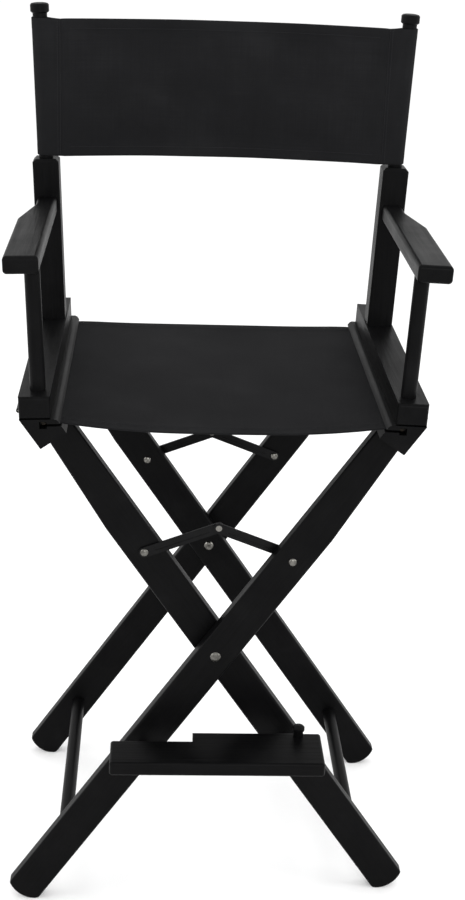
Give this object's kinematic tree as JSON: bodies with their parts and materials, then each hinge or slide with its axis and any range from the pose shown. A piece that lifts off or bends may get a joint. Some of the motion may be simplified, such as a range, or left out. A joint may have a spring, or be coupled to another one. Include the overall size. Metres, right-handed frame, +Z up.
{
  "type": "director chair",
  "caption": "Tall folding director chair: crossed wooden leg frames, slung canvas seat and back, flat armrests on spindles, strap braces and a swing-up footrest.",
  "frame": {"origin": "on the floor, under the middle of the outline the chair covers, footrest included", "axes": "+Z up, the sitter faces -Y, +X is to the right for someone looking at the front"},
  "size_m": [0.543, 0.494, 1.1611],
  "materials": {
    "painted_wood": "satin black paint over turned and planed wood",
    "canvas": "plain-weave heavy cotton canvas",
    "black_steel": "semi-gloss black enamel",
    "bright_steel": "nickel-plated, lightly brushed",
    "raw_wood": "unvarnished hardwood dowel, stained black"
  },
  "bodies": {
    "arm_frame_left": {"arm_base_rail_left": "painted_wood", "back_post_left": "painted_wood", "finial_left": "painted_wood", "arm_spindle_left": "painted_wood", "armrest_left": "painted_wood", "arm_hinge_leaf_left": "black_steel", "arm_hinge_screws_left": "black_steel", "hinge_pins_left": "bright_steel", "back_canvas": "canvas"},
    "inner_leg_frame": {"seat_rail_left": "painted_wood", "seat_hinge_leaf_left": "black_steel", "seat_hinge_screws_left": "black_steel", "inner_front_leg": "painted_wood", "inner_rear_leg": "painted_wood", "inner_side_stretcher": "painted_wood", "seat_hem_stick_left": "raw_wood", "front_pivot_bolt": "bright_steel", "front_pivot_nut": "bright_steel", "front_pivot_washer": "bright_steel", "rear_pivot_bolt": "bright_steel", "rear_pivot_nut": "bright_steel", "rear_pivot_washer": "bright_steel", "front_brace_rivet_left": "bright_steel", "rear_brace_rivet_left": "bright_steel", "footrest_pivot_bolt": "bright_steel", "footrest_pivot_sleeve": "black_steel", "seat_canvas": "canvas"},
    "outer_leg_frame": {"seat_rail_right": "painted_wood", "seat_hinge_leaf_right": "black_steel", "seat_hinge_screws_right": "black_steel", "outer_front_leg": "painted_wood", "outer_rear_leg": "painted_wood", "outer_side_stretcher": "painted_wood", "seat_hem_stick_right": "raw_wood", "front_brace_rivet_right": "bright_steel", "rear_brace_rivet_right": "bright_steel", "footrest_peg": "painted_wood"},
    "arm_frame_right": {"arm_base_rail_right": "painted_wood", "back_post_right": "painted_wood", "finial_right": "painted_wood", "arm_spindle_right": "painted_wood", "armrest_right": "painted_wood", "arm_hinge_leaf_right": "black_steel", "arm_hinge_screws_right": "black_steel", "hinge_pins_right": "bright_steel"},
    "front_left_brace": {"front_brace_left": "black_steel"},
    "front_right_brace": {"front_brace_right": "black_steel", "front_brace_rivet_middle": "bright_steel"},
    "rear_left_brace": {"rear_brace_left": "black_steel", "rear_brace_rivet_middle": "bright_steel"},
    "rear_right_brace": {"rear_brace_right": "black_steel"},
    "footrest": {"footrest_board": "painted_wood", "footrest_hanger": "black_steel", "footrest_hanger_screws": "black_steel", "footrest_knob": "painted_wood"}
  },
  "joints": [
    {"name": "fold", "type": "hinge", "parent": "arm_frame_left", "child": "inner_leg_frame", "pos_m": [-0.24907, 0.02703, 0.71104], "axis": [0, 1, 0], "range_deg": [0, 28.5], "deforming": ["seat_canvas", "back_canvas"]},
    {"name": "leg_cross", "type": "hinge", "parent": "inner_leg_frame", "child": "outer_leg_frame", "pos_m": [0, 0.02703, 0.379], "axis": [0, 1, 0], "range_deg": [-57, 0]},
    {"name": "right_arm_hinge", "type": "hinge", "parent": "outer_leg_frame", "child": "arm_frame_right", "pos_m": [0.24907, 0.02703, 0.71104], "axis": [0, 1, 0], "range_deg": [0, 28.5]},
    {"name": "front_left_brace_pivot", "type": "hinge", "parent": "inner_leg_frame", "child": "front_left_brace", "pos_m": [-0.09402, -0.14292, 0.5158], "axis": [0, 1, 0], "range_deg": [-87.5, 0]},
    {"name": "front_right_brace_pivot", "type": "hinge", "parent": "outer_leg_frame", "child": "front_right_brace", "pos_m": [0.09402, -0.14517, 0.5158], "axis": [0, 1, 0], "range_deg": [0, 87.5]},
    {"name": "rear_left_brace_pivot", "type": "hinge", "parent": "inner_leg_frame", "child": "rear_left_brace", "pos_m": [-0.09402, 0.19682, 0.5158], "axis": [0, 1, 0], "range_deg": [-87.5, 0]},
    {"name": "rear_right_brace_pivot", "type": "hinge", "parent": "outer_leg_frame", "child": "rear_right_brace", "pos_m": [0.09402, 0.19908, 0.5158], "axis": [0, 1, 0], "range_deg": [0, 87.5]},
    {"name": "footrest_swing", "type": "hinge", "parent": "inner_leg_frame", "child": "footrest", "pos_m": [0.096, -0.16928, 0.238], "axis": [0, 1, 0], "range_deg": [0, 55]}
  ],
  "couplings": [
    {"joint": "leg_cross", "follows": "fold", "ratio": -2},
    {"joint": "right_arm_hinge", "follows": "fold", "ratio": 1},
    {"joint": "front_left_brace_pivot", "follows": "fold", "ratio": -3.07},
    {"joint": "front_right_brace_pivot", "follows": "fold", "ratio": 3.07},
    {"joint": "rear_left_brace_pivot", "follows": "fold", "ratio": -3.07},
    {"joint": "rear_right_brace_pivot", "follows": "fold", "ratio": 3.07}
  ]
}
